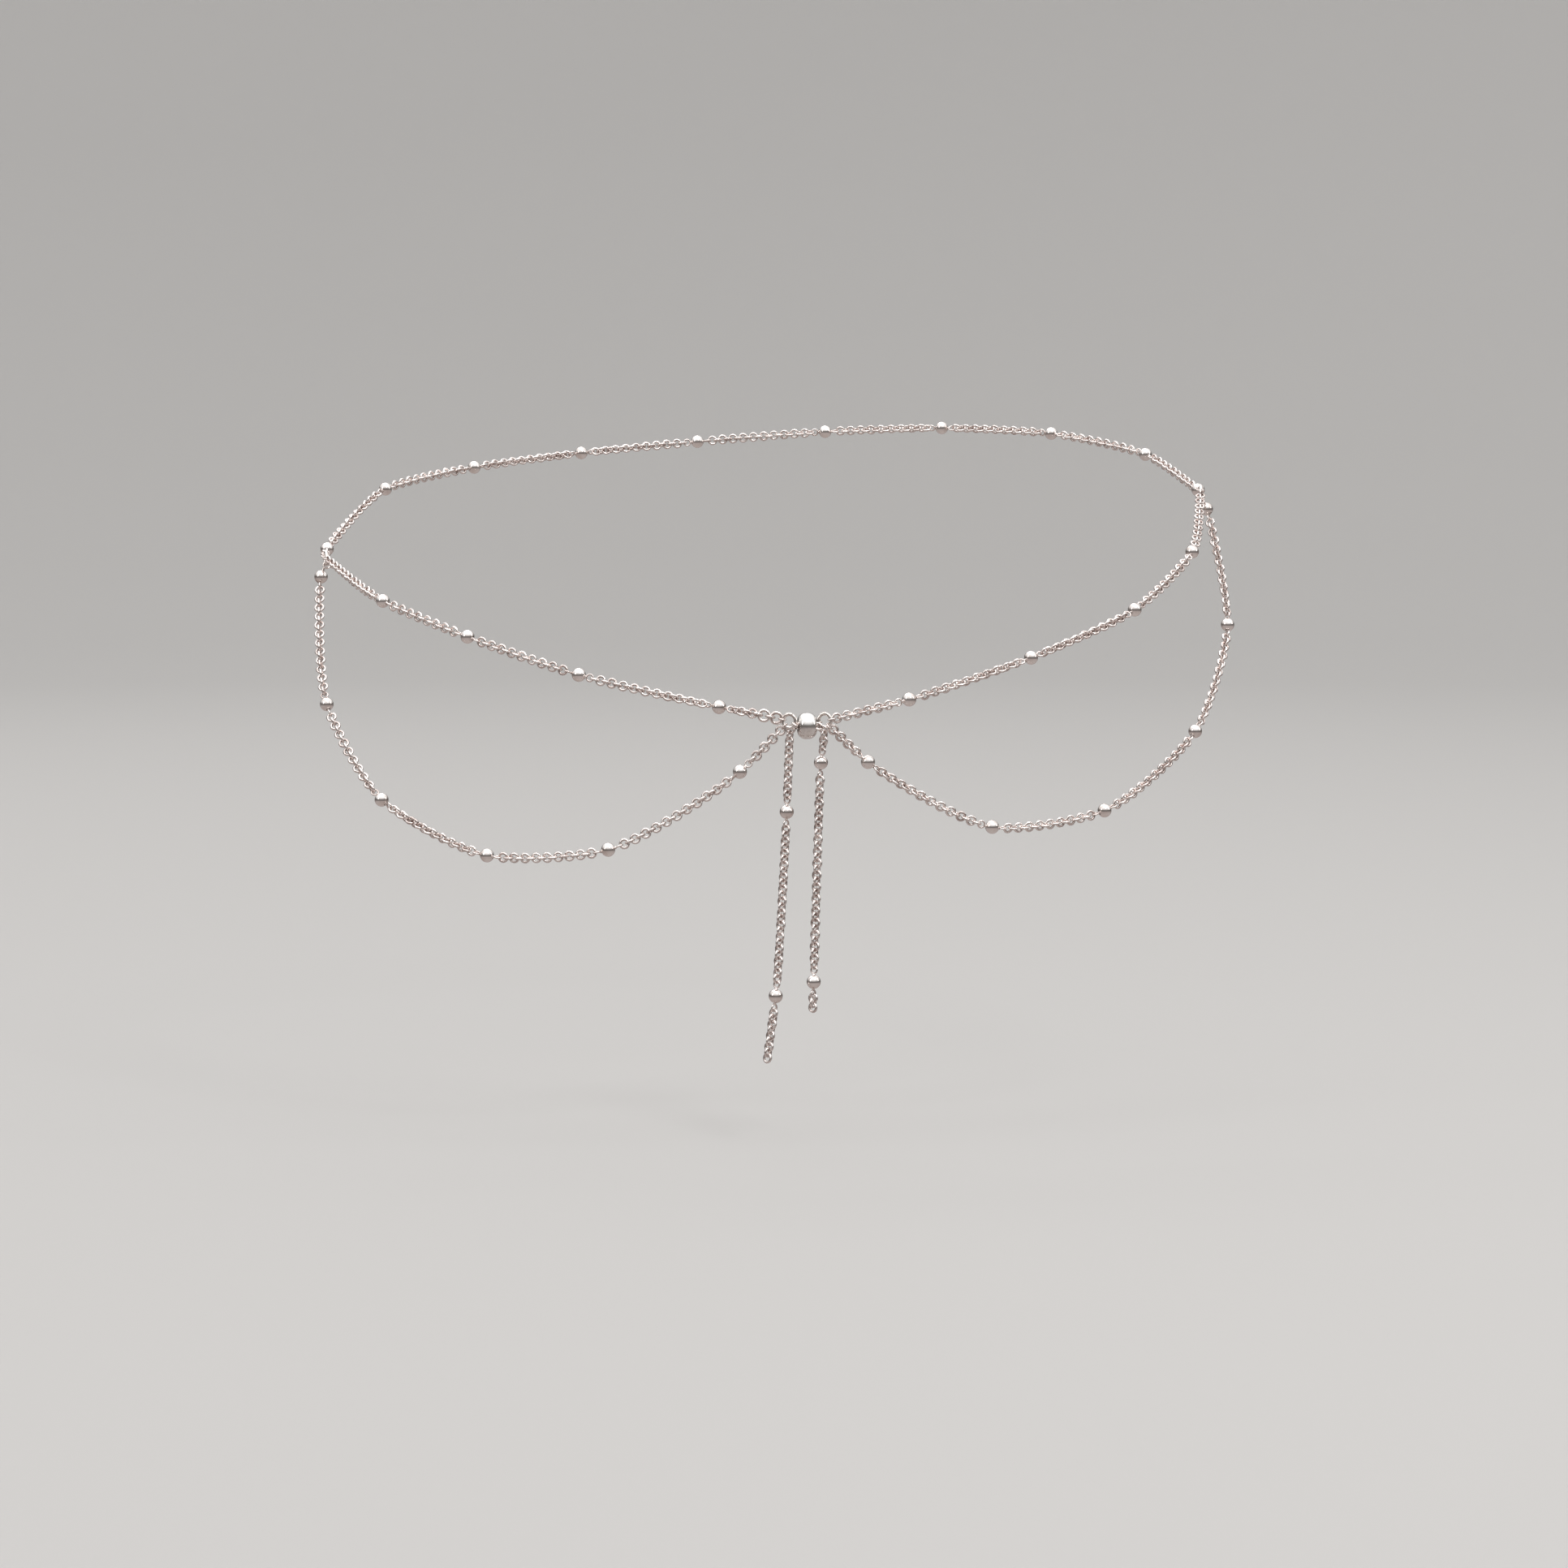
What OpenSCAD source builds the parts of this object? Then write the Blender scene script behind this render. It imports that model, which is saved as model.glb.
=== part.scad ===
// Waist chain: a beaded cable chain that closes at a slider bead, with a swag over each hip and two tails.
// The slider bead faces -Y. The origin is the middle of the loop, level with the slider bead.

/* [Loop] */
// Width of the loop across the wearer's sides
loop_width = 265; // [220:1:330]
// Depth of the loop from front to back
loop_depth = 188; // [150:1:250]
// How much each side widens for each millimetre further down the hips
side_flare = 0.35; // [0:0.05:0.6]
// How much the front and the back widen for each millimetre further down
front_flare = 0.1; // [0:0.05:0.4]
// Height of the left side ring above the slider bead
left_rise = 44; // [20:1:80]
// Height of the right side ring above the slider bead
right_rise = 63; // [20:1:80]
// How much higher the back stretch runs than the side rings
back_lift = 24; // [0:1:30]

/* [Swags and tails] */
// Drop of the left swag below the slider bead
left_drop = 38; // [20:1:60]
// Drop of the right swag below the slider bead
right_drop = 30; // [20:1:60]
// Length of the tail that hangs left of the slider bead
left_tail = 95; // [60:1:150]
// Length of the tail that hangs right of the slider bead
right_tail = 81; // [60:1:150]

/* [Chain] */
// Width of the cable chain over its round links
chain_w = 3.2; // [2.8:0.1:3.4]
// Width that the chain takes where it is drawn through the slider bead
drawn_w = 2.2; // [2:0.1:2.4]
// Diameter of the pin that carries each round bead
pin_d = 0.9; // [0.7:0.05:1.1]
// Outer diameter of the round link at each end of a chain
eye_d = 2.5; // [2.4:0.1:2.8]
// Wire diameter of that end link
eye_wire = 0.5; // [0.4:0.05:0.5]

/* [Beads] */
// Diameter of the round beads
bead_d = 4; // [3.6:0.1:6]
// Gap between a bore and what passes through it
bore_play = 0.15; // [0.1:0.05:0.3]

/* [Slider] */
// Diameter of the slider bead
slider_d = 7.5; // [7:0.1:12]
// Width of the slider bead along the chain
slider_w = 5.5; // [5:0.1:9]
// Rounding of the slider bead's rim
slider_round = 2.4; // [0.5:0.1:2.5]

/* [Rings] */
// Outer diameter of the jump rings
ring_d = 4.8; // [4.6:0.1:6]
// Wire diameter of the jump rings
ring_wire = 1; // [0.8:0.05:1.1]

/* [Hidden] */
facets = 64;
wire_facets = 32;
tube_sides = 8;
cut_past = 1;

ring_r = (ring_d - ring_wire) / 2;
eye_r = (eye_d - eye_wire) / 2;
bead_bore_d = pin_d + 2 * bore_play;
slider_bore_d = drawn_w + 2 * bore_play;
bead_reach = bead_d / 2 + bore_play;
neck = (chain_w - pin_d) / 2;  // length over which a chain narrows to a pin or an end link
bend_r = 0.8 * drawn_w;        // how tightly a tail turns down as it leaves the slider bead
bend_steps = [0, 30, 60];
lane_gap = 0.4;                // gap between the two chains inside the slider bead
lane = (drawn_w + lane_gap) / 2;
lane_start = 0.25 * slider_w;  // a drawn chain has its full width this far from the slider's middle

slider_ring_gap = 0.28;        // gap between the slider bead and the ring on each side of it
slider_ring_yaw = -30;         // the rings beside the slider bead stand turned by this much
slider_ring_lift = 1.5;        // and their middles lie this much above the slider bead's
slider_link_turn = 25;         // where the chain through the slider bead hooks on them

// Places of the beads, from the ring beside the slider bead outwards.
// Columns: turn in degrees from the middle of the front, height as a share of the rise, or below 0 of the drop
waist_left_seats = [[-9.5, 0.12], [-26, 0.32], [-42, 0.55], [-59, 0.76]];
waist_right_seats = [[11.5, 0.11], [27, 0.285], [44.5, 0.485], [62.3, 0.735]];
swag_left_seats = [[-7, -0.34], [-20.2, -0.92], [-33.5, -0.98], [-49.2, -0.6], [-65, 0.07], [-84.5, 0.88]];
swag_right_seats = [[6.5, -0.35], [19.3, -0.99], [33, -0.88], [50, -0.18], [67.2, 0.385], [81.5, 0.92]];
// Columns: turn in degrees, height above the line between the side rings as a share of the lift
back_seats = [[-93, 0.1], [-117, 0.76], [-138, 0.92], [-157, 0.98], [-175, 1],
              [-194, 1], [-212, 0.94], [-231, 0.78], [-252, 0.46], [-272.5, 0.02]];
// Columns: turn in degrees, depth as a share of the tail's length; the last row is the tail's end
tail_left_seats = [[-2.1, 0.265], [-3.1, 0.83], [-3.8, 1]];
tail_right_seats = [[1.5, 0.135], [0.4, 0.93], [0.3, 1]];

// Columns: turn and share of the rise where the side rings lie
left_side_seat = [-86, 1];
right_side_seat = [84, 1];

function unit(v) = v / norm(v);

// The surface that the chains lie on, as the wearer's hips would carry them
function level(turn) = (left_rise + right_rise) / 2 + (right_rise - left_rise) / 2 * sin(turn);
function half_w(turn, height) = loop_width / 2 + side_flare * (level(turn) - height);
function half_d(turn, height) = loop_depth / 2 + front_flare * (level(turn) - height);
function seat(turn, height) = [half_w(turn, height) * sin(turn), -half_d(turn, height) * cos(turn), height];
function outward(p) = unit([p.x / pow(loop_width, 2), p.y / pow(loop_depth, 2), 0]);
function facing(turn) = atan2(sin(turn) / loop_width, cos(turn) / loop_depth);

slider_y = seat(0, 0).y - (slider_d - bead_d) / 2;

// A ring is its middle and the direction that it faces, in degrees from the front
function slider_ring(side) =
    let (hook_y = lane + ring_r * cos(slider_link_turn) * sin(slider_ring_yaw))
    [[side * (slider_w / 2 + slider_ring_gap + cos(slider_ring_yaw) * ring_d / 2),
      slider_y + side * hook_y, slider_ring_lift], slider_ring_yaw];
function side_ring(place, rise) = [seat(place[0], place[1] * rise), facing(place[0])];

left_slider_ring = slider_ring(-1);
right_slider_ring = slider_ring(1);
left_side_ring = side_ring(left_side_seat, left_rise);
right_side_ring = side_ring(right_side_seat, right_rise);

// A hook is where a chain's end link holds a ring: the link's middle, the way out, and the ring's wire there.
// Its angle is measured round the ring from the right, as seen from outside
function hook(ring, angle) =
    let (across = [cos(ring[1]), sin(ring[1]), 0], up = [0, 0, 1])
    let (out = cos(angle) * across + sin(angle) * up, wire = cos(angle) * up - sin(angle) * across)
    [ring[0] + ring_r * out, out, wire];
function hook_neck(h) = h[0] + eye_r * h[1];
function hook_start(h) = h[0] + (eye_r + neck) * h[1];

function hooks(rings, angles) = [for (i = [0, 1]) hook(rings[i], angles[i])];

left_rings = [left_slider_ring, left_side_ring];
right_rings = [right_slider_ring, right_side_ring];
waist_left_hooks = hooks(left_rings, [168, 0]);
waist_right_hooks = hooks(right_rings, [10, 170]);
swag_left_hooks = hooks(left_rings, [227, -60]);
swag_right_hooks = hooks(right_rings, [-47, 230]);
back_hooks = hooks([left_side_ring, right_side_ring], [165, 15]);
tail_left_hook = hook(right_slider_ring, 180 + slider_link_turn);
tail_right_hook = hook(left_slider_ring, -slider_link_turn);

// A route is the list of places that a chain goes through: its two ends, with its beads between them
function strand_seats(rows, rise, drop) =
    [for (row = rows) seat(row[0], row[1] > 0 ? row[1] * rise : row[1] * drop)];
function back_route_seats(rows) = [for (row = rows) seat(row[0], level(row[0]) + row[1] * back_lift)];
function hooked_route(ends, seats) = concat([hook_start(ends[0])], seats, [hook_start(ends[1])]);

waist_left_route = hooked_route(waist_left_hooks, strand_seats(waist_left_seats, left_rise, left_drop));
waist_right_route = hooked_route(waist_right_hooks, strand_seats(waist_right_seats, right_rise, right_drop));
swag_left_route = hooked_route(swag_left_hooks, strand_seats(swag_left_seats, left_rise, left_drop));
swag_right_route = hooked_route(swag_right_hooks, strand_seats(swag_right_seats, right_rise, right_drop));
back_route = hooked_route(back_hooks, back_route_seats(back_seats));

// A tail crosses the slider bead in its own lane, turns down and hangs to its end
end_link = eye_r + eye_d / 2 + neck;
function lane_y(side) = slider_y - side * lane;
function turn_down(side, angle) =
    [side * (slider_w / 2 + bore_play + bend_r * sin(angle)), lane_y(side), -bend_r * (1 - cos(angle))];
function tail_seats(rows, length) = [for (row = rows) seat(row[0], -row[1] * (length - end_link))];
function tail_route(side, rows, length) = concat([turn_down(side, 90)], tail_seats(rows, length));
function tail_entry(side) =
    concat([[-side * lane_start, lane_y(side), 0]], [for (angle = bend_steps) turn_down(side, angle)]);

tail_left_route = tail_route(-1, tail_left_seats, left_tail);
tail_right_route = tail_route(1, tail_right_seats, right_tail);

// A smooth curve through a route's places
function way(route, i) =
    i == 0 ? unit(route[1] - route[0]) :
    i == len(route) - 1 ? unit(route[i] - route[i - 1]) :
    let (before = route[i] - route[i - 1], after = route[i + 1] - route[i])
    unit(norm(after) * unit(before) + norm(before) * unit(after));
bend_share = 0.7;              // a chain bends mostly beside its beads, and runs straighter between them
function span_room(route, i) = norm(route[i + 1] - route[i]);
function pull(route, i, beside) =
    let (span = span_room(route, i), is_end = beside < 0 || beside > len(route) - 2)
    bend_share * (is_end ? span : min(span, 2 * span_room(route, beside)));
function between(route, i, share) =
    let (s = share, start_pull = pull(route, i, i - 1) * way(route, i),
         end_pull = pull(route, i, i + 1) * way(route, i + 1))
    (2 * pow(s, 3) - 3 * pow(s, 2) + 1) * route[i] + (pow(s, 3) - 2 * pow(s, 2) + s) * start_pull
    + (3 * pow(s, 2) - 2 * pow(s, 3)) * route[i + 1] + (pow(s, 3) - pow(s, 2)) * end_pull;

// A station is a place on a chain and the chain's radius there. A chain narrows to a pin at each bead,
// and has its full width on each span that has room for it
full_r = chain_w / 2;
full_room = 1.5 * (bead_reach + neck);  // a shorter span than this stays as thin as a pin
bend_room = 3 * bead_d;                 // a shorter span than this runs straight
function is_full(route, i) = span_room(route, i) > full_room;
function bends(route, i) = span_room(route, i) < bend_room ? [] :
    [for (share = [1, 2] / 3) [between(route, i, share), full_r]];
function full_end(route, i, place) = is_full(route, i) ? [[place, full_r]] : [];
function at_bead(route, i) =
    let (axis = way(route, i), full_reach = (bead_reach + neck) * axis)
    concat(full_end(route, i - 1, route[i] - full_reach),
           [for (end = [-1, 1]) [route[i] + end * bead_reach * axis, pin_d / 2]],
           full_end(route, i, route[i] + full_reach));
function stations(route) =
    let (last = len(route) - 1)
    concat(full_end(route, 0, route[0]),
           [for (i = [0 : last - 1]) each concat(bends(route, i), i + 1 < last ? at_bead(route, i + 1) : [])],
           full_end(route, last - 1, route[last]));

// Each string of beads: its beads' name, its route
strings = [
    ["waist_bead_left_", waist_left_route],
    ["waist_bead_right_", waist_right_route],
    ["back_bead_", back_route],
    ["swag_bead_left_", swag_left_route],
    ["swag_bead_right_", swag_right_route],
    ["tail_bead_left_", tail_left_route],
    ["tail_bead_right_", tail_right_route],
];

module along(axis) rotate([0, acos(axis.z), atan2(axis.y, axis.x)]) children();

module wire_ring(outer, wire) {
    rotate_extrude($fn = facets) translate([(outer - wire) / 2, 0]) circle(d = wire, $fn = wire_facets);
}

// A closed tube of flat sides along its stations
module tube(run) {
    points = [for (row = run) row[0]];
    last = len(points) - 1;
    spin = 360 / tube_sides;
    function heading(k) =
        k == 0 ? unit(points[1] - points[0]) :
        k == last ? unit(points[k] - points[k - 1]) :
        unit(unit(points[k] - points[k - 1]) + unit(points[k + 1] - points[k]));
    function rim(k) =
        let (t = heading(k), o = outward(points[k]), a = unit(o - (o * t) * t), b = cross(t, a))
        [for (j = [0 : tube_sides - 1])
            points[k] + run[k][1] * (cos((j + 0.5) * spin) * a + sin((j + 0.5) * spin) * b)];
    function at(k, j) = k * tube_sides + j % tube_sides;
    polyhedron(
        points = [for (k = [0 : last]) each rim(k)],
        faces = concat(
            [[for (j = [0 : tube_sides - 1]) at(0, j)]],
            [for (k = [0 : last - 1]) for (j = [0 : tube_sides - 1]) each
                [[at(k, j), at(k + 1, j), at(k + 1, j + 1)], [at(k, j), at(k + 1, j + 1), at(k, j + 1)]]],
            [[for (j = [tube_sides - 1 : -1 : 0]) at(last, j)]]));
}

module end_link_at(h) translate(h[0]) along(h[2]) wire_ring(eye_d, eye_wire);

// A chain between two rings, drawn as wide as its links
module hooked_chain(ends, route) {
    run = concat([[hook_neck(ends[0]), eye_wire / 2]], stations(route), [[hook_neck(ends[1]), eye_wire / 2]]);
    color("silver") union() {
        tube(run);
        for (h = ends) end_link_at(h);
    }
}

// A chain that hooks on a ring beside the slider bead, crosses the bead and hangs as a tail
module tail_chain(side, start, route) {
    down = [0, 0, -1];
    widened = route[0] + neck * way(route, 0);
    tip = route[len(route) - 1] + neck * down;
    run = concat([[hook_neck(start), eye_wire / 2]],
                 [for (place = concat(tail_entry(side), [route[0]])) [place, drawn_w / 2]],
                 stations(concat([widened], [for (i = [1 : len(route) - 1]) route[i]])),
                 [[tip, eye_wire / 2]]);
    color("silver") union() {
        tube(run);
        end_link_at(start);
        end_link_at([tip + eye_r * down, down, [1, 0, 0]]);
    }
}

module jump_ring(ring) {
    color("silver") translate(ring[0]) rotate([90, 0, ring[1]]) wire_ring(ring_d, ring_wire);
}

module strand_bead(route, i) {
    color("silver") translate(route[i]) along(way(route, i)) difference() {
        sphere(d = bead_d, $fn = facets);
        cylinder(d = bead_bore_d, h = bead_d + cut_past, center = true, $fn = facets);
    }
}

module slider_bead() {
    flat_w = slider_w - 2 * slider_round;
    flat_r = slider_d / 2 - slider_round;
    slot_h = slider_w + 2 * cut_past;
    color("silver") translate([0, slider_y, 0]) rotate([0, 90, 0]) difference() {
        rotate_extrude($fn = facets) intersection() {
            translate([0, -slider_w / 2]) square([slider_d / 2, slider_w]);
            union() {
                translate([0, -slider_w / 2]) square([flat_r, slider_w]);
                translate([0, -flat_w / 2]) square([slider_d / 2, flat_w]);
                for (end = [-1, 1]) translate([flat_r, end * flat_w / 2])
                    circle(r = slider_round, $fn = facets);
            }
        }
        for (end = [-1, 1]) translate([0, end * lane, 0])
            cylinder(d = slider_bore_d, h = slot_h, center = true, $fn = facets);
        cube([slider_bore_d, 2 * lane, slot_h], center = true);
    }
}

slider_bead();
jump_ring(left_slider_ring);  // slider_ring_left
jump_ring(right_slider_ring);  // slider_ring_right
jump_ring(left_side_ring);  // side_ring_left
jump_ring(right_side_ring);  // side_ring_right
hooked_chain(waist_left_hooks, waist_left_route);  // waist_chain_left
hooked_chain(waist_right_hooks, waist_right_route);  // waist_chain_right
hooked_chain(back_hooks, back_route);  // waist_chain_back
hooked_chain(swag_left_hooks, swag_left_route);  // swag_chain_left
hooked_chain(swag_right_hooks, swag_right_route);  // swag_chain_right
tail_chain(-1, tail_left_hook, tail_left_route);  // tail_chain_left
tail_chain(1, tail_right_hook, tail_right_route);  // tail_chain_right
for (row = strings) for (i = [1 : len(row[1]) - 2])
    strand_bead(row[1], i);
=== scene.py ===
# Silver waist chain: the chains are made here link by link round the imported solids.
# Sizes are in metres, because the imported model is.
import bisect
import math
import random

import bmesh
import bpy
from mathutils import Matrix, Vector


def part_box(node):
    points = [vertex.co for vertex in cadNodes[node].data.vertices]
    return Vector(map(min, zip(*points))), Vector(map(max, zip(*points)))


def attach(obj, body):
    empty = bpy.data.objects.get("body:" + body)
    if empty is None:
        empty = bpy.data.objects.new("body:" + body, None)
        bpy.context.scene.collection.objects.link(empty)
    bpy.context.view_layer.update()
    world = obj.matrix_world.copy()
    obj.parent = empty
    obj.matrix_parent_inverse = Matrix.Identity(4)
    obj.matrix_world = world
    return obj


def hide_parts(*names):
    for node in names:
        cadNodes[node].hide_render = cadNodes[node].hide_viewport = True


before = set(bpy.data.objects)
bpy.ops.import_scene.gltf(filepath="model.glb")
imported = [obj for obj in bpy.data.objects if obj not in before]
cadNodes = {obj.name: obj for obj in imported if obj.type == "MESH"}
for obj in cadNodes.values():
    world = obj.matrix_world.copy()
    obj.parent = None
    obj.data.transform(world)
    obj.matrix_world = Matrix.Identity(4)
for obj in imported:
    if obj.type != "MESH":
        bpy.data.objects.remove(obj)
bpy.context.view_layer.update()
mm = 0.001
up = Vector((0, 0, 1))
print("loaded", len(cadNodes), "nodes")


# Camera: at the photo's angle, a little above the chain and a little to its left
cameraValues = {
    "azimuth": -7.0,
    "elevation": 5.0,
    "distance": 1.5,
    "target": (0.00551, -0.00288, -0.02505),
    "lens": 113.76,
    "sensor": 36.0,
}


def makeCamera(values):
    azimuth, elevation = math.radians(values["azimuth"]), math.radians(values["elevation"])
    away = Vector((math.sin(azimuth) * math.cos(elevation),
                   -math.cos(azimuth) * math.cos(elevation), math.sin(elevation)))
    data = bpy.data.cameras.new("photoCamera")
    data.lens = values["lens"]
    data.sensor_width = values["sensor"]
    camera = bpy.data.objects.new("photoCamera", data)
    camera.location = Vector(values["target"]) + away * values["distance"]
    camera.rotation_euler = (-away).to_track_quat("-Z", "Y").to_euler()
    bpy.context.scene.collection.objects.link(camera)
    bpy.context.scene.camera = camera


makeCamera(cameraValues)
print("camera ready")


# Silver finishes: a polished plate that has dulled a little, with fine rubbed marks. The rosy warmth in the
# chain, bead and ring silver is a painted reflection of warm surroundings, on top of the silver's own colour
silverValues = {
    "chain": {"light": (0.92, 0.85, 0.82), "dark": (0.63, 0.54, 0.51), "smooth": 0.12, "dull": 0.28,
              "links": True},
    "bead": {"light": (0.93, 0.88, 0.86), "dark": (0.74, 0.66, 0.62), "smooth": 0.06, "dull": 0.17},
    "ring": {"light": (0.91, 0.86, 0.83), "dark": (0.58, 0.51, 0.47), "smooth": 0.12, "dull": 0.28},
    "slider": {"light": (0.93, 0.91, 0.89), "dark": (0.70, 0.67, 0.64), "smooth": 0.09, "dull": 0.22},
}
finishValues = {
    "patchScale": 260.0,       # patches of dulling, about 4 mm apart
    "patchDetail": 4.0,
    "patchRoughness": 0.6,
    "tintSpan": (0.30, 0.56),  # from where the patches are dark to where they are light
    "grainScale": 2600.0,      # grain of the plate, about 0.4 mm
    "grainDetail": 3.0,
    "rubStretch": (900.0, 900.0, 5200.0),
    "rubDetail": 2.0,
    "rubSpan": (0.35, 0.70),   # from where the rubbed marks are smooth to where they are dull
    "bumpHeight": 0.000012,
    "bumpStrength": 0.35,
    "toneSpread": 0.22,        # how much the links differ in tone
    "insidePaintedShade": -0.26,       # painted shade: how much a link darkens on its inside, where shade falls
}


def makeSilver(name, values, common):
    material = bpy.data.materials.new(name + "Silver")
    material.use_nodes = True
    tree = material.node_tree
    shader = tree.nodes["Principled BSDF"]
    shader.inputs["Metallic"].default_value = 1.0

    def add(kind, **inputs):
        node = tree.nodes.new(kind)
        for socket, value in inputs.items():
            node.inputs[socket].default_value = value
        return node

    place = add("ShaderNodeTexCoord")
    patches = add("ShaderNodeTexNoise", Scale=common["patchScale"], Detail=common["patchDetail"],
                  Roughness=common["patchRoughness"])
    grain = add("ShaderNodeTexNoise", Scale=common["grainScale"], Detail=common["grainDetail"])
    rubbed = add("ShaderNodeMapping", Scale=common["rubStretch"])
    rubs = add("ShaderNodeTexNoise", Scale=1.0, Detail=common["rubDetail"])
    tint = add("ShaderNodeValToRGB")
    for stop, position, shade in zip(tint.color_ramp.elements, common["tintSpan"], ("dark", "light")):
        stop.position = position
        stop.color = (*values[shade], 1)
    gloss = add("ShaderNodeMapRange", **{
        "From Min": common["rubSpan"][0], "From Max": common["rubSpan"][1],
        "To Min": values["smooth"], "To Max": values["dull"]})
    bump = add("ShaderNodeBump", Strength=common["bumpStrength"], Distance=common["bumpHeight"])

    link = tree.links.new
    link(place.outputs["Object"], patches.inputs["Vector"])
    link(place.outputs["Object"], grain.inputs["Vector"])
    link(place.outputs["Object"], rubbed.inputs["Vector"])
    link(rubbed.outputs["Vector"], rubs.inputs["Vector"])
    tintFrom = patches.outputs["Fac"]
    # Each link's own tone, then painted shade on the inside of the link
    if values.get("links"):
        for layer, amount in (("tone", common["toneSpread"]), ("inside", common["insidePaintedShade"])):
            attribute = add("ShaderNodeAttribute")
            attribute.attribute_name = layer
            shift = add("ShaderNodeMath")
            shift.operation = "MULTIPLY_ADD"
            shift.inputs[1].default_value = amount
            link(attribute.outputs["Fac"], shift.inputs[0])
            link(tintFrom, shift.inputs[2])
            tintFrom = shift.outputs["Value"]
    link(tintFrom, tint.inputs["Fac"])
    link(tint.outputs["Color"], shader.inputs["Base Color"])
    link(rubs.outputs["Fac"], gloss.inputs["Value"])
    link(gloss.outputs["Result"], shader.inputs["Roughness"])
    link(grain.outputs["Fac"], bump.inputs["Height"])
    link(bump.outputs["Normal"], shader.inputs["Normal"])
    return material


silver = {name: makeSilver(name, values, finishValues) for name, values in silverValues.items()}
print("silver finishes ready")


# Measures that the solids have too
loopValues = {"width": 265 * mm, "depth": 188 * mm}
linkValues = {
    "width": 3.2 * mm,
    "wire": 0.76 * mm,
    "steps": 14,             # round a link
    "sides": 5,              # round its wire
    "turnJitter": 5.0,       # degrees, and the same for the tilt of a link
    "sizeJitter": 0.012,
    "reachShare": 0.99,      # links are added until they reach this share of the way
    "seed": 7,
}
largeLinkValues = {"width": 3.9 * mm, "wire": 0.9 * mm, "steps": 24, "sides": 10}
eyeValues = {                # the round link on a ring, and the loops beside a bead
    "width": 2.5 * mm,
    "wire": 0.5 * mm,
    "steps": 16,
    "sides": 8,
    "pull": 0.3 * mm,        # how far a link on a ring is drawn out, until it meets the ring's wire
    "beadGap": 0.1 * mm,     # between a bead and the loop beside it
}
pinValues = {"width": 0.8 * mm, "sides": 16}
beadWidth = 4.0 * mm
ringValues = {
    "width": 4.8 * mm,
    "wire": 1.0 * mm,
    "steps": 64,
    "sides": 20,
    "seam": 3.0,             # degrees left open where the wire's ends meet
    # name: its node, which way it faces, where its seam is, in degrees
    "rings": {
        "sliderRingLeft": ("slider_ring_left", -30.0, 62.0),
        "sliderRingRight": ("slider_ring_right", -30.0, 118.0),
        "sideRingLeft": ("side_ring_left", -84.38, 80.0),
        "sideRingRight": ("side_ring_right", 81.57, 100.0),
    },
}
sliderValues = {
    "width": 5.5 * mm,
    "play": 0.15 * mm,
    "lane": 1.3 * mm,        # each chain runs this far in front of or behind the slider's middle
    "laneStart": 1.375 * mm,
    "bend": 1.76 * mm,       # radius in which a tail turns down
    "bendSteps": (0, 45, 90),
}


def middle(node):
    low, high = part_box(node)
    return (low + high) / 2


# The way out of the hips at a place of the loop
def outward(place):
    return Vector((place.x / loopValues["width"] ** 2, place.y / loopValues["depth"] ** 2, 0)).normalized()


def shadeSmooth(mesh):
    for face in mesh.polygons:
        face.use_smooth = True


def newPiece(name, mesh, nodes, finish):
    piece = bpy.data.objects.new(name, mesh)
    bpy.context.scene.collection.objects.link(piece)
    mesh.materials.append(silver[finish])
    shadeSmooth(mesh)
    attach(piece, "root")
    for node in nodes:
        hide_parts(node)
    return piece


# The edges at some vertices, each of them once
def edgesAt(verts):
    return list(dict.fromkeys(edge for vert in verts for edge in vert.link_edges))


# Wire bent round Z into a ring of this outer width; seam is the angle that it leaves open
def bendWire(bm, width, wire, steps, sides, seam=0.0):
    section = bmesh.ops.create_circle(bm, segments=sides, radius=wire / 2)["verts"]
    bmesh.ops.rotate(bm, verts=section, cent=(0, 0, 0), matrix=Matrix.Rotation(math.pi / 2, 3, "X"))
    bmesh.ops.translate(bm, verts=section, vec=((width - wire) / 2, 0, 0))
    bmesh.ops.spin(bm, geom=section + edgesAt(section), cent=(0, 0, 0), axis=(0, 0, 1),
                   angle=math.radians(360 - seam), steps=steps, use_merge=seam == 0)
    if seam:
        bmesh.ops.holes_fill(bm, edges=[edge for edge in bm.edges if edge.is_boundary], sides=0)
    bmesh.ops.recalc_face_normals(bm, faces=bm.faces)


def meshOf(name, build):
    bm = bmesh.new()
    build(bm)
    mesh = bpy.data.meshes.new(name)
    bm.to_mesh(mesh)
    bm.free()
    return mesh


def roundLink(name, values):
    return meshOf(name, lambda bm: bendWire(bm, values["width"], values["wire"], values["steps"],
                                            values["sides"]))


# The turn that lays X along one direction and Z along another, at a place
def standing(place, along, facing):
    side = facing.cross(along).normalized()
    face = along.cross(side).normalized()
    turn = Matrix((along.normalized(), side, face)).transposed()
    return Matrix.Translation(place) @ turn.to_4x4()


# Jump rings, each a bent wire with its seam
ringPlaces = {}
for name, (node, facing, seamAt) in ringValues["rings"].items():
    yaw, seamTurn = math.radians(facing), math.radians(seamAt)
    across = Vector((math.cos(yaw), math.sin(yaw), 0))
    ringPlaces[node] = (middle(node), across)
    mesh = meshOf(name, lambda bm: bendWire(bm, ringValues["width"], ringValues["wire"], ringValues["steps"],
                                            ringValues["sides"], ringValues["seam"]))
    startWay = across * math.cos(seamTurn) + up * math.sin(seamTurn)
    mesh.transform(standing(middle(node), startWay, across.cross(up)))
    newPiece(name, mesh, [node], "ring")
print("jump rings made")


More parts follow.
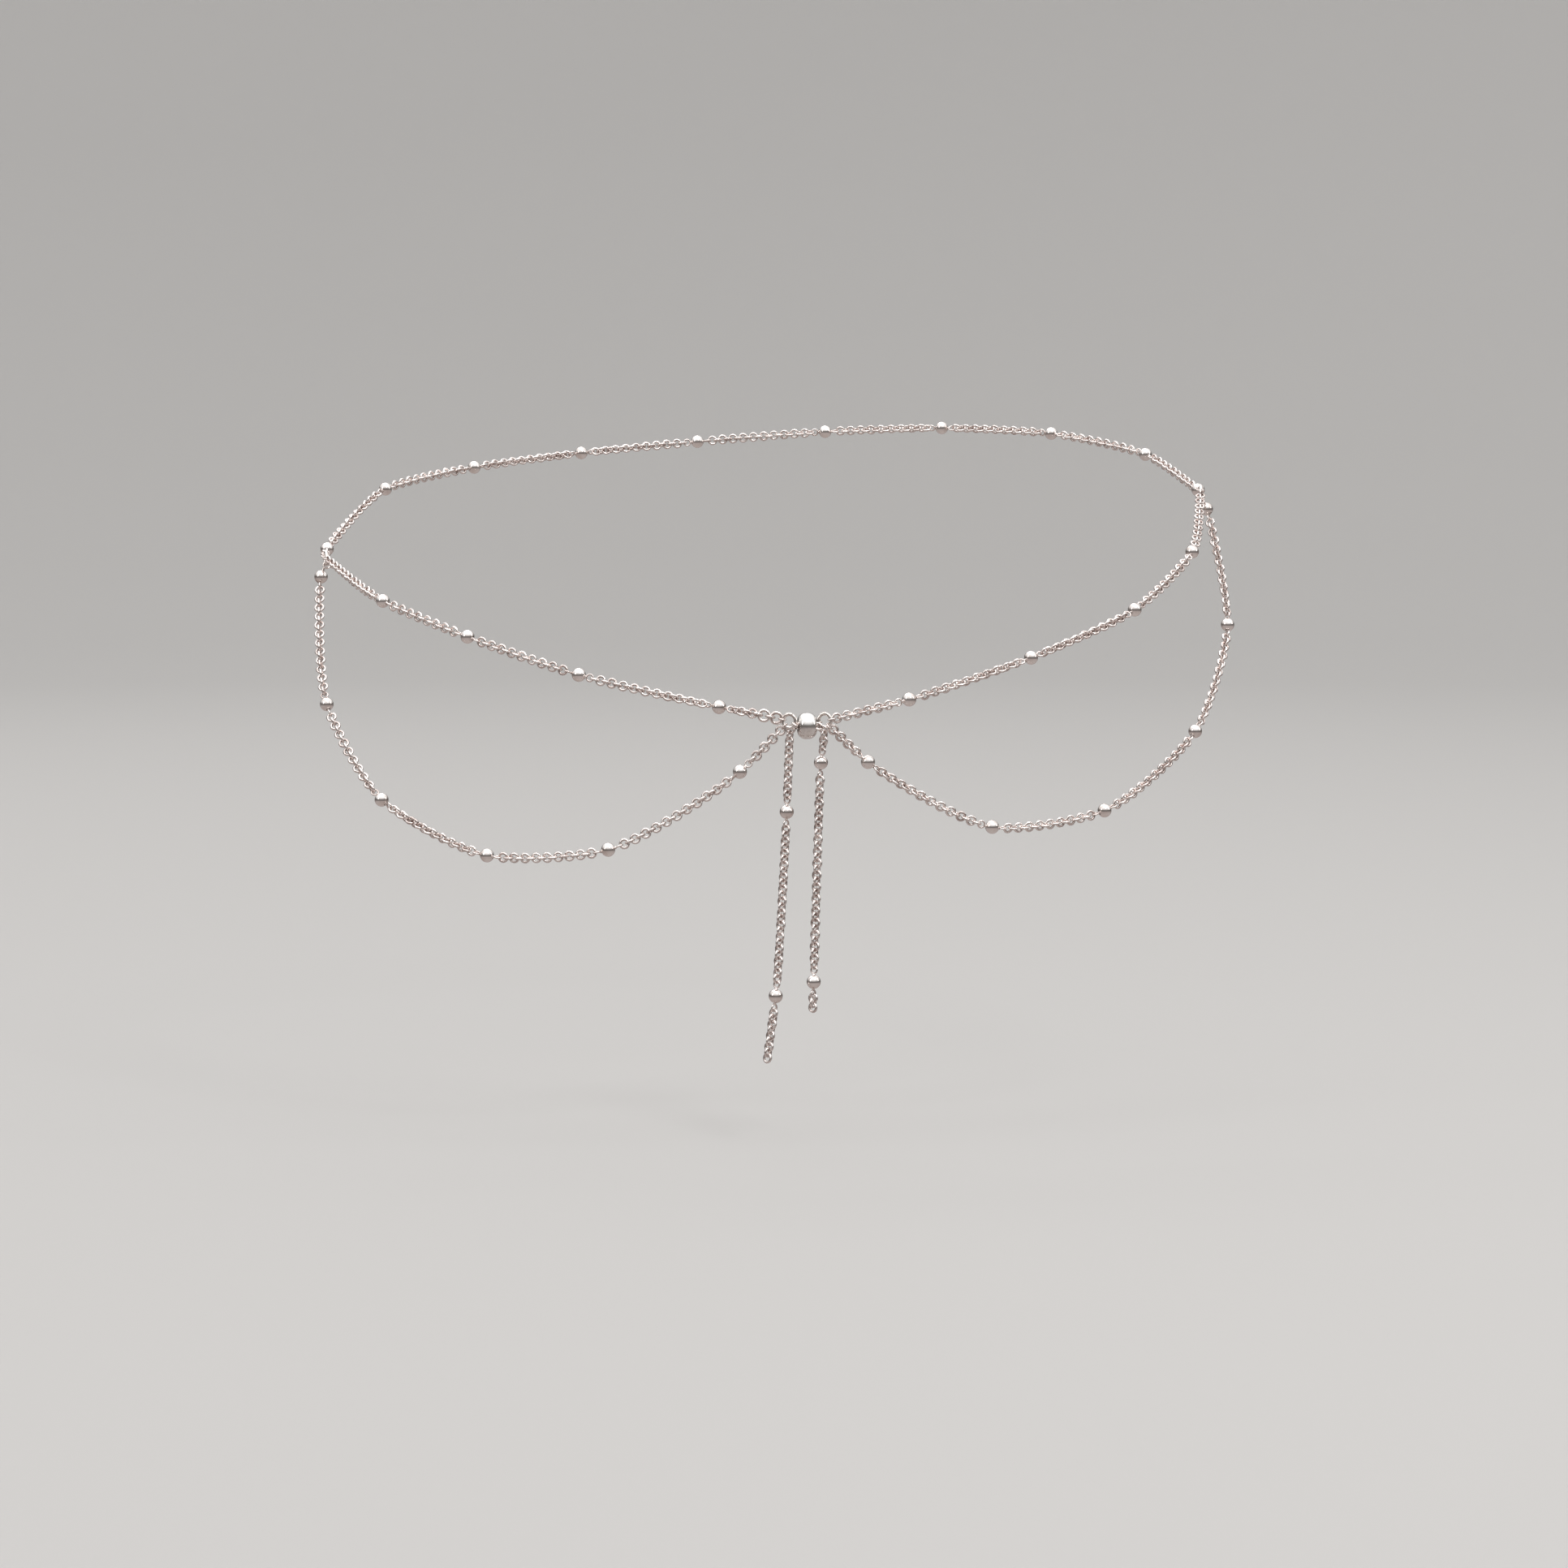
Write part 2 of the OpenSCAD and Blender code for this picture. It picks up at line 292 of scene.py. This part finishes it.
# A smooth curve through places, with the distance along it at each place
class ChainPath:
    bendShare = 0.7  # it bends mostly beside its beads, and runs straighter between them
    headingSpan = linkValues["width"] / 3  # its way is measured this far to each side of a place

    def __init__(self, places, step=0.2 * mm):
        last = len(places) - 1
        gaps = [places[i + 1] - places[i] for i in range(last)]
        ways = [gaps[0].normalized()]
        for before, after in zip(gaps, gaps[1:]):
            way = before.normalized() * after.length + after.normalized() * before.length
            ways.append(way.normalized())
        ways.append(gaps[-1].normalized())
        self.points, self.stops = [places[0]], [0]
        for i in range(last):
            count = max(2, round(gaps[i].length / step))
            startPull = ways[i] * self.pull(gaps, i, i - 1)
            endPull = ways[i + 1] * self.pull(gaps, i, i + 1)
            for k in range(1, count + 1):
                s = k / count
                self.points.append(
                    (2 * s ** 3 - 3 * s ** 2 + 1) * places[i] + (s ** 3 - 2 * s ** 2 + s) * startPull
                    + (3 * s ** 2 - 2 * s ** 3) * places[i + 1] + (s ** 3 - s ** 2) * endPull)
            self.stops.append(len(self.points) - 1)
        self.reach = [0.0]
        for a, b in zip(self.points, self.points[1:]):
            self.reach.append(self.reach[-1] + (b - a).length)

    # How far a gap follows the way at one of its ends; a long gap beside a short one follows it less
    def pull(self, gaps, i, beside):
        room = min(gaps[i].length, 2 * gaps[beside].length) if 0 <= beside < len(gaps) else gaps[i].length
        return self.bendShare * room

    def distanceTo(self, stop):
        return self.reach[self.stops[stop]]

    def at(self, distance):
        k = min(max(bisect.bisect_left(self.reach, distance), 1), len(self.points) - 1)
        share = (distance - self.reach[k - 1]) / (self.reach[k] - self.reach[k - 1])
        return self.points[k - 1].lerp(self.points[k], share)

    def heading(self, distance):
        ahead = self.at(min(distance + self.headingSpan, self.reach[-1]))
        return (ahead - self.at(max(distance - self.headingSpan, 0))).normalized()


# Each chain: its node, its beads, the ring and the angle on it where each end hooks, and the twist of its
# links at each bead, in degrees from lying flat. A tail hooks at one end, and has its side of the slider bead
chainValues = {
    "waistLinksLeft": {
        "node": "waist_chain_left", "beads": ("waist_bead_left_", 4),
        "hooks": [("slider_ring_left", 168), ("side_ring_left", 0)],
        "twists": (40, 8, 0, 15),
        "large": (0, 2),     # two larger links beside the ring
    },
    "waistLinksRight": {
        "node": "waist_chain_right", "beads": ("waist_bead_right_", 4),
        "hooks": [("slider_ring_right", 10), ("side_ring_right", 170)],
        "twists": (12, 30, 42, 30),
    },
    "waistLinksBack": {
        "node": "waist_chain_back", "beads": ("back_bead_", 10),
        "hooks": [("side_ring_left", 165), ("side_ring_right", 15)],
        "twists": (20, 5, -25, -40, -10, 15, 38, 20, -5, -20),
    },
    "swagLinksLeft": {
        "node": "swag_chain_left", "beads": ("swag_bead_left_", 6),
        "hooks": [("slider_ring_left", 227), ("side_ring_left", -60)],
        "twists": (22, 0, -6, -30, -42, -20),
    },
    "swagLinksRight": {
        "node": "swag_chain_right", "beads": ("swag_bead_right_", 6),
        "hooks": [("slider_ring_right", -47), ("side_ring_right", 230)],
        "twists": (38, 12, 0, -15, -38, -25),
    },
    "tailLinksLeft": {
        "node": "tail_chain_left", "beads": ("tail_bead_left_", 2),
        "hooks": [("slider_ring_right", 205)], "side": -1,
        "twists": (45, 45),
    },
    "tailLinksRight": {
        "node": "tail_chain_right", "beads": ("tail_bead_right_", 2),
        "hooks": [("slider_ring_left", -25)], "side": 1,
        "twists": (45, 42),
    },
}
drawnTwist = 45  # links lie crosswise inside the slider bead


def hookAt(ring, angle):
    place, across = ringPlaces[ring]
    turn = math.radians(angle)
    out = across * math.cos(turn) + up * math.sin(turn)
    wireWay = up * math.cos(turn) - across * math.sin(turn)
    radius = (ringValues["width"] - ringValues["wire"]) / 2
    return place + out * (radius + eyeValues["pull"]), out, wireWay


# Places inside the slider bead and round its edge, on the way to a tail
def tailPlaces(side):
    slider = middle("slider_bead")
    lane = Vector((0, slider.y - side * sliderValues["lane"], slider.z))
    places = [lane - Vector((side * sliderValues["laneStart"], 0, 0))]
    for angle in map(math.radians, sliderValues["bendSteps"]):
        across = sliderValues["width"] / 2 + sliderValues["play"] + sliderValues["bend"] * math.sin(angle)
        places.append(lane + Vector((side * across, 0, -sliderValues["bend"] * (1 - math.cos(angle)))))
    return places


# The middle of the last link of a tail
def tailEnd(node):
    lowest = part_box(node)[0].z
    tip = [vert.co for vert in cadNodes[node].data.vertices if vert.co.z < lowest + eyeValues["width"]]
    place = sum(tip, Vector()) / len(tip)
    place.z = lowest + linkValues["width"] / 2
    return place


# From one link's middle to the next one's when the chain is taut
def meeting(a, b):
    return (a["width"] - a["wire"] + b["width"] - b["wire"]) / 2 - (a["wire"] + b["wire"]) / 2


linkMesh, largeMesh, eyeMesh = (roundLink(*pair) for pair in (
    ("link", linkValues), ("largeLink", largeLinkValues), ("eye", eyeValues)))
firstPitch = meeting(eyeValues, linkValues)
# From the middle of a bead to the middle of the loop beside it
loopReach = beadWidth / 2 + eyeValues["beadGap"] + eyeValues["width"] / 2
loopRadius = (eyeValues["width"] - eyeValues["wire"]) / 2
draw = random.Random(linkValues["seed"])


class ChainBuilder:
    thinnest = 0.01 * mm  # a pin has no inside, and this keeps its share from dividing by nothing

    def __init__(self):
        self.bm = bmesh.new()
        self.tone = self.bm.verts.layers.float.new("tone")
        self.inside = self.bm.verts.layers.float.new("inside")
        self.links = 0

    # Each link has its own tone, and painted shade darkens its inside
    def put(self, mesh, matrix):
        start = len(self.bm.verts)
        self.bm.from_mesh(mesh)
        self.bm.verts.ensure_lookup_table()
        added = self.bm.verts[start:]
        reach = [vert.co.xy.length for vert in added]
        depth = max(max(reach) - min(reach), self.thinnest)
        tone = draw.random()
        for vert, out in zip(added, reach):
            vert[self.tone] = tone
            vert[self.inside] = (max(reach) - out) / depth
        bmesh.ops.transform(self.bm, matrix=matrix, verts=added)

    # A round link across the way of the chain; twist 0 lies flat on the hips
    def putLink(self, mesh, place, along, twist, jitter=0.0):
        flat = outward(place)
        flat = (flat - along * flat.dot(along)).normalized()
        tilt, turn, size = (draw.uniform(-1, 1) for _ in range(3))
        facing = Matrix.Rotation(math.radians(twist + jitter * turn), 3, along) @ flat
        matrix = standing(place, along, facing)
        matrix = matrix @ Matrix.Rotation(math.radians(jitter * tilt), 4, "Z")
        if jitter:
            matrix = matrix @ Matrix.Scale(1 + linkValues["sizeJitter"] * size, 4)
        self.put(mesh, matrix)
        self.links += 1

    def putPin(self, start, end):
        pin = meshOf("pin", lambda bm: bmesh.ops.create_cone(
            bm, cap_ends=True, segments=pinValues["sides"], radius1=pinValues["width"] / 2,
            radius2=pinValues["width"] / 2, depth=(end - start).length))
        turn = (end - start).to_track_quat("Z", "Y").to_matrix().to_4x4()
        self.put(pin, Matrix.Translation((start + end) / 2) @ turn)
        bpy.data.meshes.remove(pin)

    # Links between two loops: each lies across the one before it, while the whole twists slowly
    def fill(self, path, places, kinds, startTwist, endTwist):
        for k, (distance, kind) in enumerate(zip(places, kinds)):
            share = k / max(len(places) - 1, 1)
            twist = startTwist + (endTwist - startTwist) * share + 90 * k
            mesh = largeMesh if kind is largeLinkValues else linkMesh
            self.putLink(mesh, path.at(distance), path.heading(distance), twist, linkValues["turnJitter"])


# The links that reach from a loop to the next one, or to the end of a tail, and their distances
def spread(start, end, hangs, large):
    kinds = []
    reach = [0.0]
    while reach[-1] < (end - start) * linkValues["reachShare"]:
        kinds.append(largeLinkValues if len(kinds) in large else linkValues)
        run = [eyeValues] + kinds + ([] if hangs else [eyeValues])
        reach = [0.0]
        for a, b in zip(run, run[1:]):
            reach.append(reach[-1] + meeting(a, b))
    places = [start + way * (end - start) / reach[-1] for way in reach[1:len(kinds) + 1]]
    return kinds, places


def makeChain(name, values):
    prefix, beadCount = values["beads"]
    beads = [middle(prefix + str(i + 1)) for i in range(beadCount)]
    hooks = [hookAt(*hook) for hook in values["hooks"]]
    hangs = "side" in values
    leadIn = tailPlaces(values["side"]) if hangs else []
    lastPlace = tailEnd(values["node"]) if hangs else hooks[1][0]
    path = ChainPath([hooks[0][0]] + leadIn + beads + [lastPlace])
    maker = ChainBuilder()
    for place, out, wireWay in hooks:
        maker.put(eyeMesh, standing(place, out, wireWay))

    # Where each stretch of links starts and ends, and the twist there
    beadAt = [path.distanceTo(len(leadIn) + 1 + i) for i in range(beadCount)]
    whole = path.reach[-1]
    atBeads = list(zip(beadAt, values["twists"]))
    starts = [(0.0, drawnTwist if hangs else 0)] + [(place + loopReach, twist) for place, twist in atBeads]
    ends = [(place - loopReach, twist) for place, twist in atBeads]
    ends.append((whole, values["twists"][-1] if hangs else 0))

    # A bead right beside a ring has no links there, and its pin reaches the link on the ring
    shortStart = ends[0][0] - starts[0][0] < 2 * firstPitch
    shortEnd = not hangs and ends[-1][0] - starts[-1][0] < 2 * firstPitch
    for i, ((start, startTwist), (end, endTwist)) in enumerate(zip(starts, ends)):
        isFirst, isLast = i == 0, i == beadCount
        if (isFirst and shortStart) or (isLast and shortEnd):
            continue
        kinds, spots = spread(start, end, hangs and isLast, values.get("large", ()) if isFirst else ())
        count = len(kinds)
        # The last link lies across the one on the ring
        turned = 90 * ((count + 1) % 2) if isLast and not hangs else 0
        maker.fill(path, spots, kinds, startTwist + turned, endTwist + turned)
        if not isFirst:
            maker.putLink(eyeMesh, path.at(start), path.heading(start), startTwist + turned + 90)
        if not isLast:
            maker.putLink(eyeMesh, path.at(end), path.heading(end), endTwist + turned + 90 * count)

    for i, distance in enumerate(beadAt):
        axis = path.heading(distance)
        before = after = loopReach - loopRadius
        if i == 0 and shortStart:
            before = distance - loopRadius
        if i == beadCount - 1 and shortEnd:
            after = whole - distance - loopRadius
        maker.putPin(beads[i] - axis * before, beads[i] + axis * after)

    mesh = bpy.data.meshes.new(name)
    maker.bm.to_mesh(mesh)
    maker.bm.free()
    newPiece(name, mesh, [values["node"]], "chain")
    print(name, maker.links, "links")


for name, values in chainValues.items():
    makeChain(name, values)
for mesh in (linkMesh, largeMesh, eyeMesh):
    bpy.data.meshes.remove(mesh)


# Slider bead: closed loops are bridged from inside its slot, over the rounded lip and round the rim to the
# other end
shellValues = {
    "height": 7.5 * mm,
    "round": 2.4 * mm,
    "slotWidth": 2.5 * mm,
    "lip": 0.14 * mm,
    "steps": 128,            # round each loop
    "lipSteps": 4,
    "rimSteps": 18,
}


# How far the slot's wall is from the slider's middle line, in a direction
def slotReach(turn):
    across, along = abs(math.sin(turn)), abs(math.cos(turn))
    half, lane = shellValues["slotWidth"] / 2, sliderValues["lane"]
    if half * along <= lane * across:
        return half / across
    return lane * along + math.sqrt(half ** 2 - (lane * across) ** 2)


# Places of half a section through the shell in a direction: along the chain, and away from the middle line
def shellSection(turn):
    lip, rim = shellValues["lip"], shellValues["round"]
    flatHeight, flatWidth = shellValues["height"] / 2 - rim, sliderValues["width"] / 2 - rim
    wall = slotReach(turn)
    firstAngle = math.asin((wall + lip - flatHeight) / rim)
    mouth = flatWidth + rim * math.cos(firstAngle)
    section = [(0.0, wall)]
    for k in range(shellValues["lipSteps"]):
        angle = math.pi / 2 * k / shellValues["lipSteps"]
        section.append((mouth - lip * (1 - math.sin(angle)), wall + lip * (1 - math.cos(angle))))
    for k in range(shellValues["rimSteps"] + 1):
        angle = firstAngle + (math.pi / 2 - firstAngle) * k / shellValues["rimSteps"]
        section.append((flatWidth + rim * math.cos(angle), flatHeight + rim * math.sin(angle)))
    return section


def shapeSlider(bm):
    halfLoops = len(shellSection(0))
    loops = []
    for side, order in ((1, range(halfLoops)), (-1, range(halfLoops - 1, 0, -1))):
        for k in order:
            loop = bmesh.ops.create_circle(bm, segments=shellValues["steps"], radius=1)["verts"]
            for vert in loop:
                turn = math.atan2(vert.co.y, vert.co.x)
                along, reach = shellSection(turn)[k]
                vert.co = (side * along, reach * math.cos(turn), reach * math.sin(turn))
            loops.append(edgesAt(loop))
    for one, other in zip(loops, loops[1:] + loops[:1]):
        bmesh.ops.bridge_loops(bm, edges=one + other)
    bmesh.ops.recalc_face_normals(bm, faces=bm.faces)
    bmesh.ops.translate(bm, verts=bm.verts, vec=middle("slider_bead"))


newPiece("sliderShell", meshOf("sliderShell", shapeSlider), ["slider_bead"], "slider")
print("slider bead made")


# The round beads' solids stay, and get their silver
for node, solid in cadNodes.items():
    if "_bead_" in node:
        for slot in solid.material_slots:
            slot.material = silver["bead"]
print("beads finished")


# Floor: a pale round bowl with a low wall, so that every side has the same plain ground
floorValues = {
    "height": -0.118,
    "flat": 1.9,
    "bend": 1.1,
    "bendAngles": range(10, 91, 10),
    "wall": 1.15,
    "steps": 96,
    "colour": (0.71, 0.70, 0.69),
    "roughness": 0.9,
    "shine": 0.1,
}


def makeFloor(values):
    bm = bmesh.new()
    edge = [bm.verts.new((0, 0, 0)), bm.verts.new((values["flat"], 0, 0))]
    for angle in map(math.radians, values["bendAngles"]):
        edge.append(bm.verts.new((values["flat"] + values["bend"] * math.sin(angle), 0,
                                  values["bend"] * (1 - math.cos(angle)))))
    edge.append(bm.verts.new((values["flat"] + values["bend"], 0, values["wall"])))
    lines = [bm.edges.new(pair) for pair in zip(edge, edge[1:])]
    bmesh.ops.spin(bm, geom=edge + lines, cent=(0, 0, 0), axis=(0, 0, 1), angle=2 * math.pi,
                   steps=values["steps"], use_merge=True)
    bmesh.ops.remove_doubles(bm, verts=bm.verts, dist=mm)
    bmesh.ops.recalc_face_normals(bm, faces=bm.faces)
    bmesh.ops.translate(bm, verts=bm.verts, vec=(0, 0, values["height"]))
    mesh = bpy.data.meshes.new("floor")
    bm.to_mesh(mesh)
    bm.free()
    shadeSmooth(mesh)
    floor = bpy.data.objects.new("floor", mesh)
    bpy.context.scene.collection.objects.link(floor)
    material = bpy.data.materials.new("palePaper")
    material.use_nodes = True
    shader = material.node_tree.nodes["Principled BSDF"]
    shader.inputs["Base Color"].default_value = (*values["colour"], 1)
    shader.inputs["Roughness"].default_value = values["roughness"]
    shader.inputs["Specular IOR Level"].default_value = values["shine"]
    # The silver looks through the floor, and mirrors only the room's shades
    nodes, link = material.node_tree.nodes, material.node_tree.links.new
    clear, path, mix = (nodes.new(kind) for kind in (
        "ShaderNodeBsdfTransparent", "ShaderNodeLightPath", "ShaderNodeMixShader"))
    link(path.outputs["Is Glossy Ray"], mix.inputs["Fac"])
    link(shader.outputs["BSDF"], mix.inputs[1])
    link(clear.outputs["BSDF"], mix.inputs[2])
    link(mix.outputs["Shader"], nodes["Material Output"].inputs["Surface"])
    mesh.materials.append(material)


makeFloor(floorValues)


# Soft studio light: a large box above, a small one for the sparkle, two strips at the sides and one behind
lightValues = {
    "above": {"place": (0.1, -0.35, 1.95), "size": (1.5, 1.2), "power": 6.0, "colour": (1.0, 0.99, 0.98)},
    "sparkle": {"place": (0.55, -1.25, 1.45), "size": (0.45, 0.4), "power": 7.0,
                "colour": (1.0, 0.985, 0.97)},
    "left": {"place": (-1.6, -0.8, 0.8), "size": (0.35, 0.9), "power": 2.5, "colour": (1.0, 0.96, 0.94)},
    "right": {"place": (1.7, -0.4, 0.8), "size": (0.3, 0.9), "power": 2.0, "colour": (1.0, 0.97, 0.95)},
    "behind": {"place": (-0.3, 1.4, 1.5), "size": (1.4, 0.5), "power": 5.0, "colour": (1.0, 0.98, 0.96)},
}
# The room lights the floor evenly, while the silver mirrors it as a light tent: warm grey below, a dark line
# at eye level and bright overhead
roomValues = {
    "light": (0.55, 0.545, 0.54),
    "brightest": 1.45,
    # height of the direction, from -1 straight down to 1 straight up, and its shade, a share of the brightest
    "mirrored": (
        (-1.0, (0.31, 0.275, 0.26)),
        (-0.35, (0.28, 0.25, 0.24)),
        (-0.06, (0.11, 0.10, 0.095)),
        (0.12, (0.10, 0.095, 0.09)),
        (0.40, (0.52, 0.515, 0.51)),
        (0.75, (0.86, 0.86, 0.86)),
        (1.0, (1.0, 1.0, 1.0)),
    ),
}


def makeLights(lights):
    for name, values in lights.items():
        data = bpy.data.lights.new(name, "AREA")
        data.shape = "RECTANGLE"
        data.size, data.size_y = values["size"]
        data.energy = values["power"]
        data.color = values["colour"]
        light = bpy.data.objects.new(name, data)
        light.location = values["place"]
        light.rotation_euler = (-Vector(values["place"])).to_track_quat("-Z", "Y").to_euler()
        bpy.context.scene.collection.objects.link(light)


def makeRoom(values):
    world = bpy.data.worlds.new("room")
    world.use_nodes = True
    nodes, link = world.node_tree.nodes, world.node_tree.links.new
    lit = nodes["Background"]
    lit.inputs["Color"].default_value = (*values["light"], 1)
    mirrored = nodes.new("ShaderNodeBackground")
    way, parts, ramp = (nodes.new(kind) for kind in (
        "ShaderNodeTexCoord", "ShaderNodeSeparateXYZ", "ShaderNodeValToRGB"))
    stops = ramp.color_ramp.elements
    while len(stops) < len(values["mirrored"]):
        stops.new(0.5)
    for stop, (height, shade) in zip(stops, values["mirrored"]):
        stop.position = (height + 1) / 2
        stop.color = (*shade, 1)
    mirrored.inputs["Strength"].default_value = values["brightest"]
    rise = nodes.new("ShaderNodeMapRange")
    rise.inputs["From Min"].default_value = -1.0
    link(way.outputs["Generated"], parts.inputs["Vector"])
    link(parts.outputs["Z"], rise.inputs["Value"])
    link(rise.outputs["Result"], ramp.inputs["Fac"])
    link(ramp.outputs["Color"], mirrored.inputs["Color"])
    path, mix = nodes.new("ShaderNodeLightPath"), nodes.new("ShaderNodeMixShader")
    link(path.outputs["Is Glossy Ray"], mix.inputs["Fac"])
    link(lit.outputs["Background"], mix.inputs[1])
    link(mirrored.outputs["Background"], mix.inputs[2])
    link(mix.outputs["Shader"], nodes["World Output"].inputs["Surface"])
    bpy.context.scene.world = world


makeRoom(roomValues)
makeLights(lightValues)
bpy.context.scene.view_settings.view_transform = "Standard"
print("floor and light ready")
